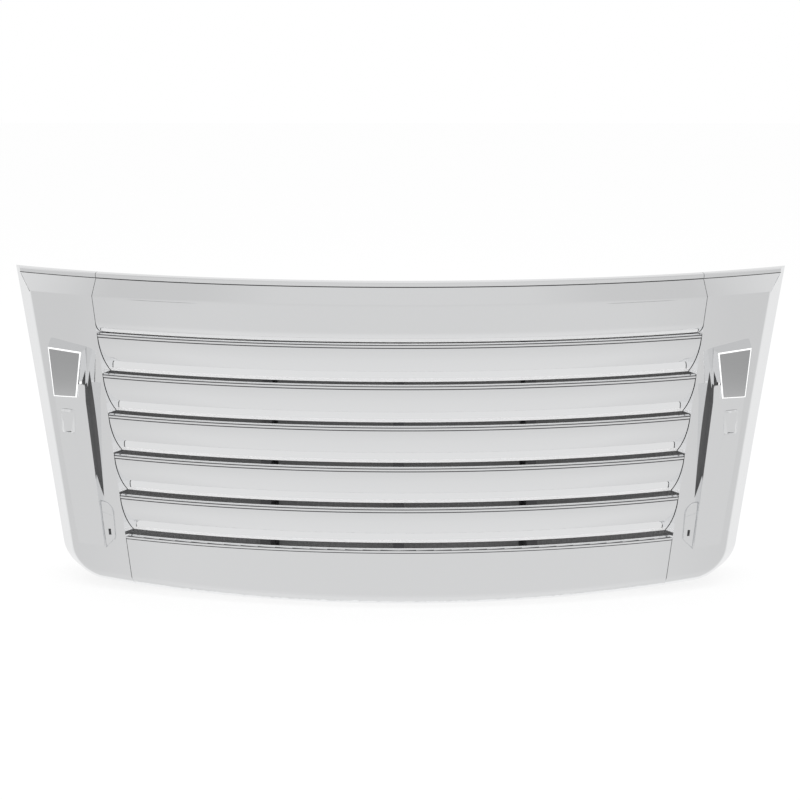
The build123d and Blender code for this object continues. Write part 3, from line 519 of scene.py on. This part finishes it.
nodeFinish = {
    "skirt_panel": "chrome", "side_panel_left": "chrome", "side_panel_right": "chrome",
    "pod_plug_left": "chrome", "pod_plug_right": "chrome",
    "intake_end_cap_left": "chrome", "intake_end_cap_right": "chrome",
    "screen_clips": "springSteel", "bug_screen_frame": "blackCoat",
    "top_rail": "blackCoat", "bottom_rail": "blackCoat",
    "side_upright_left": "blackCoat", "side_upright_right": "blackCoat",
    "tie_bar_left": "blackCoat", "tie_bar_centre": "blackCoat", "tie_bar_right": "blackCoat",
    "intake_screen_left": "blackMesh", "intake_screen_right": "blackMesh",
    "bug_screen": "blackMesh",
}
for name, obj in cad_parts.items():
    for slot in obj.material_slots:
        slot.material = made[nodeFinish.get(name, "zinc")]


podEdge = {"plan": 18.0, "lean": 7.4, "lowZ": 22.0, "highZ": 128.0, "proud": 1.2,
           "clear": 0.4, "size": 1.6, "steps": 3, "angle": 12.0, "shortest": 8.0,
           "flatAngle": 0.4, "likeness": 0.9995}
shading = {"flatArea": 100.0, "aside": 0.03}
creases = {"panel": 18, "other": 24}


def proudOfFace(point, by):
    x, y, z = point / mm
    return y < faceY(x, z) - by


def easeBlock(bm):
    # merge the raised block's flats and round the edges between them; the rounded edges get a
    # painted highlight
    def onBlock(point):
        inHeight = podEdge["lowZ"] * mm < point.z < podEdge["highZ"] * mm
        return inHeight and proudOfFace(point, podEdge["clear"])

    flats = [f for f in bm.faces if onBlock(f.calc_center_median())]
    edges = {e for f in flats for e in f.edges if all(g in flats for g in e.link_faces)}
    bmesh.ops.dissolve_limit(bm, angle_limit=radians(podEdge["flatAngle"]), edges=list(edges),
                             verts=list({v for e in edges for v in e.verts}))
    plan, lean = radians(podEdge["plan"]), radians(podEdge["lean"])
    front = Vector((sin(plan) * cos(lean), cos(plan) * cos(lean), sin(lean)))

    def isFront(item):
        n = item.normal
        return Vector((abs(n.x), -n.y, n.z)).dot(front) > podEdge["likeness"]

    chosen = []
    for line in bm.edges:
        middle = (line.verts[0].co + line.verts[1].co) / 2
        if len(line.link_faces) == 2 and any(isFront(item) for item in line.link_faces) \
                and onBlock(middle) and line.calc_length() > podEdge["shortest"] * mm \
                and proudOfFace(middle, podEdge["proud"]) \
                and line.calc_face_angle() > radians(podEdge["angle"]):
            chosen.append(line)
    bevelled = bmesh.ops.bevel(bm, geom=chosen, offset=podEdge["size"] * mm, offset_type="OFFSET",
                           segments=podEdge["steps"], profile=0.5, affect="EDGES",
                           clamp_overlap=False)
    # the rounded edges take the painted highlight finish
    for item in bevelled["faces"]:
        item.material_index = finishOrder.index("paintedEdgeHighlight")
    print("block edges eased", len(chosen))


def turnNormals(mesh):
    # turned faces take their own slope at each corner, and flats of the block stay flat
    normals = [corner.vector.copy() for corner in mesh.corner_normals]
    gathered = [Vector() for _ in mesh.vertices]
    eased = finishOrder.index("paintedEdgeHighlight")
    for polygon in mesh.polygons:
        if polygon.material_index != eased:
            for index in polygon.vertices:
                gathered[index] += polygon.normal * polygon.area
    axis = Vector((0, turnY * mm, 0))
    for polygon in mesh.polygons:
        if polygon.material_index == eased:
            for index in polygon.loop_indices:
                here = gathered[mesh.loops[index].vertex_index]
                if here.length > 0:
                    normals[index] = here.normalized()
            continue
        large = len(polygon.vertices) > 4 or polygon.area > shading["flatArea"] * mm * mm
        if large and proudOfFace(polygon.center, podEdge["clear"]):
            for index in polygon.loop_indices:
                normals[index] = polygon.normal.copy()
            continue
        out = polygon.center - axis
        out.z = 0
        out.normalize()
        aside = Vector((-out.y, out.x, 0))
        if abs(polygon.normal.dot(aside)) > shading["aside"]:
            continue
        radial = polygon.normal.dot(out)
        for index in polygon.loop_indices:
            point = mesh.vertices[mesh.loops[index].vertex_index].co - axis
            point.z = 0
            point.normalize()
            normals[index] = (point * radial + Vector((0, 0, polygon.normal.z))).normalized()
    mesh.normals_split_custom_set(normals)


def markStrips(mesh, marks):
    for polygon in mesh.polygons:
        x, y, z = polygon.center / mm
        setback = face["radius"] - leanSlope * z - sqrt(x * x + (turnY - y) ** 2)
        number = finishAt(setback, z, marks)
        if number is not None:
            polygon.material_index = number


def smoothCopy(name, title, crease, marks, raised=False):
    # the node's own surface with its doubled points joined and soft shading
    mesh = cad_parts[name].data.copy()
    mesh.name = title
    obj = link(bpy.data.objects.new(title, mesh))
    plate(obj)
    bm = bmesh.new()
    bm.from_mesh(mesh)
    bmesh.ops.remove_doubles(bm, verts=bm.verts, dist=joinDistance["solid"])
    for item in bm.faces:
        item.material_index = 0
    if raised:
        easeBlock(bm)
    bm.to_mesh(mesh)
    bm.free()
    smoothByAngle(mesh, crease)
    turnNormals(mesh)
    markStrips(mesh, marks)
    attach(obj, "root")
    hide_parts(name)


for side in ("Left", "Right"):
    # painted shade in the lip groove; the block's rounded edges get a painted highlight
    smoothCopy(f"side_panel_{side.lower()}", f"sidePanel{side}", creases["panel"],
               {"shadowLine": lipGroove()}, raised=True)
    smoothCopy(f"intake_end_cap_{side.lower()}", f"endCap{side}", creases["other"], {})
    smoothCopy(f"pod_plug_{side.lower()}", f"podPlug{side}", creases["other"], {})
skirtNose = noseZ(louvre["count"] + 1)
# painted shade lines and painted ledge glow on the skirt's nose
smoothCopy("skirt_panel", "skirtShell", creases["other"],
           {"shadowLine": darkLines(skirtNose), "paintedLedgeLight": ledgeTop(skirtNose)})

wires = {"pitch": 8.0, "radius": 0.6, "turn": 978.0, "sheet": 4.0, "thickness": 1.0,
         "halfAngle": 27.3, "lowZ": -196.0, "highZ": 158.0, "bowSteps": 48, "sides": 5}


def makeWires():
    # upright and level wires on one turned sheet, from a pitch and a wire size
    tree = bpy.data.node_groups.new("meshWires", "GeometryNodeTree")
    sockets = tree.interface
    for title in ("Pitch", "Wire", "Turn", "Half Angle", "Height"):
        sockets.new_socket(title, in_out="INPUT", socket_type="NodeSocketFloat")
    sockets.new_socket("Finish", in_out="INPUT", socket_type="NodeSocketMaterial")
    sockets.new_socket("Geometry", in_out="OUTPUT", socket_type="NodeSocketGeometry")
    given = node(tree, "NodeGroupInput", -1000)
    result = node(tree, "NodeGroupOutput", 800)
    out = given.outputs

    bow = node(tree, "GeometryNodeCurveArc", -600, 200, mode="RADIUS")
    bow.inputs["Resolution"].default_value = wires["bowSteps"]
    tree.links.new(out["Turn"], bow.inputs["Radius"])
    tree.links.new(maths(tree, "SUBTRACT", -pi / 2, out["Half Angle"]), bow.inputs["Start Angle"])
    tree.links.new(maths(tree, "MULTIPLY", out["Half Angle"], 2.0), bow.inputs["Sweep Angle"])
    ring = node(tree, "GeometryNodeCurvePrimitiveCircle", -600, -100, mode="RADIUS")
    ring.inputs["Resolution"].default_value = wires["sides"]
    tree.links.new(out["Wire"], ring.inputs["Radius"])
    level = node(tree, "GeometryNodeCurveToMesh", -300, 200)
    tree.links.new(bow.outputs["Curve"], level.inputs["Curve"])
    tree.links.new(ring.outputs["Curve"], level.inputs["Profile Curve"])

    rows = maths(tree, "FLOOR", maths(tree, "DIVIDE", out["Height"], out["Pitch"]))
    lift = node(tree, "ShaderNodeCombineXYZ", -600, -400)
    tree.links.new(out["Pitch"], lift.inputs["Z"])
    stack = node(tree, "GeometryNodeMeshLine", -300, -200, mode="OFFSET")
    tree.links.new(rows, stack.inputs["Count"])
    tree.links.new(lift.outputs[0], stack.inputs["Offset"])
    spread = node(tree, "GeometryNodeInstanceOnPoints", 0, 100)
    tree.links.new(stack.outputs["Mesh"], spread.inputs["Points"])
    tree.links.new(level.outputs["Mesh"], spread.inputs["Instance"])

    dots = node(tree, "GeometryNodeCurveToPoints", -300, -500, mode="LENGTH")
    tree.links.new(bow.outputs["Curve"], dots.inputs["Curve"])
    tree.links.new(out["Pitch"], dots.inputs["Length"])
    post = node(tree, "GeometryNodeMeshCylinder", -300, -800)
    post.inputs["Vertices"].default_value = wires["sides"]
    tree.links.new(out["Wire"], post.inputs["Radius"])
    tree.links.new(out["Height"], post.inputs["Depth"])
    half = node(tree, "ShaderNodeCombineXYZ", -300, -1000)
    tree.links.new(maths(tree, "MULTIPLY", out["Height"], 0.5), half.inputs["Z"])
    raised = node(tree, "GeometryNodeTransform", 0, -700)
    tree.links.new(post.outputs["Mesh"], raised.inputs["Geometry"])
    tree.links.new(half.outputs[0], raised.inputs["Translation"])
    stand = node(tree, "GeometryNodeInstanceOnPoints", 200, -400)
    tree.links.new(dots.outputs["Points"], stand.inputs["Points"])
    tree.links.new(raised.outputs["Geometry"], stand.inputs["Instance"])

    both = node(tree, "GeometryNodeJoinGeometry", 350)
    tree.links.new(spread.outputs["Instances"], both.inputs[0])
    tree.links.new(stand.outputs["Instances"], both.inputs[0])
    real = node(tree, "GeometryNodeRealizeInstances", 500)
    finish = node(tree, "GeometryNodeSetMaterial", 650)
    tree.links.new(both.outputs[0], real.inputs[0])
    tree.links.new(real.outputs[0], finish.inputs["Geometry"])
    tree.links.new(out["Finish"], finish.inputs["Material"])
    tree.links.new(finish.outputs[0], result.inputs[0])
    return tree


wireTree = makeWires()


def addWires(name, setback):
    # hand the named inputs to the wire network, then keep its plain mesh
    values = {"Pitch": wires["pitch"] * mm, "Wire": wires["radius"] * mm,
              "Turn": (wires["turn"] - setback) * mm, "Half Angle": radians(wires["halfAngle"]),
              "Height": (wires["highZ"] - wires["lowZ"]) * mm, "Finish": made["blackMesh"]}
    holder = newObject(name + "Source", [(0, 0, 0)], [])
    grow = holder.modifiers.new("wires", "NODES")
    grow.node_group = wireTree
    for socket in wireTree.interface.items_tree:
        if socket.in_out == "INPUT":
            grow[socket.identifier] = values[socket.name]
    graph = bpy.context.evaluated_depsgraph_get()
    mesh = bpy.data.meshes.new_from_object(holder.evaluated_get(graph))
    bpy.data.objects.remove(holder)
    for vertex in mesh.vertices:
        vertex.co += Vector((0, turnY, wires["lowZ"])) * mm
    mesh.name = name
    obj = link(bpy.data.objects.new(name, mesh))
    for polygon in mesh.polygons:
        polygon.use_smooth = True
    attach(obj, "root")
    print(name, len(mesh.polygons), "faces")


addWires("screenWiresRear", wires["sheet"] - wires["radius"] * 0.5)
addWires("screenWiresFront", wires["sheet"] + wires["thickness"] + wires["radius"] * 0.5)
print("solids finished")

studio = {"floorDrop": 0.004, "floorSize": 30.0, "room": 1.0, "keySize": 5.0, "keyPower": 60.0,
          "floorGlow": 0.85, "floorColor": (0.94, 0.94, 0.94), "floorRoughness": 0.9,
          "keyPlace": (0, -0.6, 3.2),
          "byHeight": [(-90, 0.79), (-30, 0.75), (-2, 0.69), (3, 0.69), (50, 0.665), (75, 0.7),
                       (90, 0.9)],
          "around": [(0, 1.0), (45, 1.0), (66, 0.92), (85, 0.92), (110, 1.2), (180, 1.2)],
          "cards": [{"around": 46.5, "halfWidth": 5.0, "soft": 3.0, "height": 5.2,
                     "halfHeight": 2.0, "softHeight": 1.3, "tone": 0.5}]}
low = min(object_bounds()[0][2], cadBounds[0][2]) - studio["floorDrop"]
half = studio["floorSize"] / 2
floor = newObject("floor", [(-half, -half, low), (half, -half, low), (half, half, low),
                            (-half, half, low)], [(0, 1, 2, 3)])
floorMaterial = bpy.data.materials.new("paleFloor")
floorMaterial.use_nodes = True
floorShader = floorMaterial.node_tree.nodes["Principled BSDF"]
floorShader.inputs["Base Color"].default_value = (*studio["floorColor"], 1)
floorShader.inputs["Roughness"].default_value = studio["floorRoughness"]
floorTree = floorMaterial.node_tree
glow = node(floorTree, "ShaderNodeEmission", -200, 300)
lift = node(floorTree, "ShaderNodeMixShader", 200, 300)
lift.inputs["Fac"].default_value = studio["floorGlow"]
see = node(floorTree, "ShaderNodeBsdfTransparent", 200, 0)
pick = node(floorTree, "ShaderNodeMixShader", 400, 200)
rays = node(floorTree, "ShaderNodeLightPath", 0, 500)
floorTree.links.new(floorShader.outputs[0], lift.inputs[1])
floorTree.links.new(glow.outputs[0], lift.inputs[2])
floorTree.links.new(rays.outputs["Is Glossy Ray"], pick.inputs["Fac"])
floorTree.links.new(lift.outputs[0], pick.inputs[1])
floorTree.links.new(see.outputs[0], pick.inputs[2])
floorTree.links.new(pick.outputs[0], floorTree.nodes["Material Output"].inputs["Surface"])
setMaterial(floor, floorMaterial)

world = bpy.data.worlds.new("studio")
bpy.context.scene.world = world
world.use_nodes = True
sky = world.node_tree
background = sky.nodes["Background"]


def softBand(tree, value, centre, halfWidth, soft):
    # 1 inside the band, falling to 0 over the soft margin
    away = maths(tree, "ABSOLUTE", maths(tree, "SUBTRACT", value, centre))
    item = node(tree, "ShaderNodeMapRange", interpolation_type="SMOOTHSTEP")
    item.inputs["From Min"].default_value = halfWidth + soft
    item.inputs["From Max"].default_value = halfWidth
    tree.links.new(away, item.inputs["Value"])
    return item.outputs["Result"]


def ramp(tree, value, low, high, stops):
    # brightness by angle, from a list of (angle, brightness)
    spread = node(tree, "ShaderNodeMapRange")
    spread.inputs["From Min"].default_value = low
    spread.inputs["From Max"].default_value = high
    tree.links.new(value, spread.inputs["Value"])
    colors = node(tree, "ShaderNodeValToRGB")
    elements = colors.color_ramp.elements
    while len(elements) < len(stops):
        elements.new(0.5)
    for element, (angle, tone) in zip(elements, stops):
        element.position = (angle - low) / (high - low)
        element.color = (tone / 2, tone / 2, tone / 2, 1)
    tree.links.new(spread.outputs["Result"], colors.inputs["Fac"])
    return maths(tree, "MULTIPLY", colors.outputs["Color"], 2.0)


direction = node(sky, "ShaderNodeTexCoord").outputs["Generated"]
parts = node(sky, "ShaderNodeSeparateXYZ")
sky.links.new(direction, parts.inputs["Vector"])
height = maths(sky, "MULTIPLY", maths(sky, "ARCSINE", parts.outputs["Z"]), 180 / pi)
sideways = maths(sky, "ABSOLUTE", parts.outputs["X"])
compass = maths(sky, "ARCTAN2", sideways, maths(sky, "MULTIPLY", parts.outputs["Y"], -1.0))
around = maths(sky, "MULTIPLY", compass, 180 / pi)
tone = ramp(sky, height, -90, 90, studio["byHeight"])
tone = maths(sky, "MULTIPLY", tone, ramp(sky, around, 0, 180, studio["around"]))
for card in studio["cards"]:
    across = softBand(sky, around, card["around"], card["halfWidth"], card["soft"])
    upward = softBand(sky, height, card["height"], card["halfHeight"], card["softHeight"])
    shade = maths(sky, "MULTIPLY", maths(sky, "MULTIPLY", across, upward), 1 - card["tone"])
    tone = maths(sky, "MULTIPLY", tone, maths(sky, "SUBTRACT", 1.0, shade))
# mirrors see the studio cards, everything else a plain white room
path = node(sky, "ShaderNodeLightPath")
mixed = node(sky, "ShaderNodeMix")
sky.links.new(path.outputs["Is Glossy Ray"], mixed.inputs["Factor"])
mixed.inputs["A"].default_value = studio["room"]
sky.links.new(tone, mixed.inputs["B"])
sky.links.new(mixed.outputs["Result"], background.inputs["Strength"])
background.inputs["Color"].default_value = (1, 1, 1, 1)

keyData = bpy.data.lights.new("softKey", "AREA")
keyData.shape = "DISK"
keyData.size = studio["keySize"]
keyData.energy = studio["keyPower"]
key = link(bpy.data.objects.new("softKey", keyData))
key.location = studio["keyPlace"]
key.visible_glossy = False

view = {"azimuth": 0.531, "elevation": 10.639, "distance": 2.8138,
        "target": (0.0024, -0.24, 0.0598), "lens": 88.434, "sensor": 36}
a, e = radians(view["azimuth"]), radians(view["elevation"])
target = Vector(view["target"])
toCamera = Vector((sin(a) * cos(e), -cos(a) * cos(e), sin(e)))
cameraData = bpy.data.cameras.new("camera")
cameraData.lens = view["lens"]
cameraData.sensor_width = view["sensor"]
camera = link(bpy.data.objects.new("camera", cameraData))
camera.location = target + toCamera * view["distance"]
camera.rotation_euler = (-toCamera).to_track_quat("-Z", "Y").to_euler()
bpy.context.scene.camera = camera
bpy.context.scene.view_settings.view_transform = "Standard"
print("studio ready")
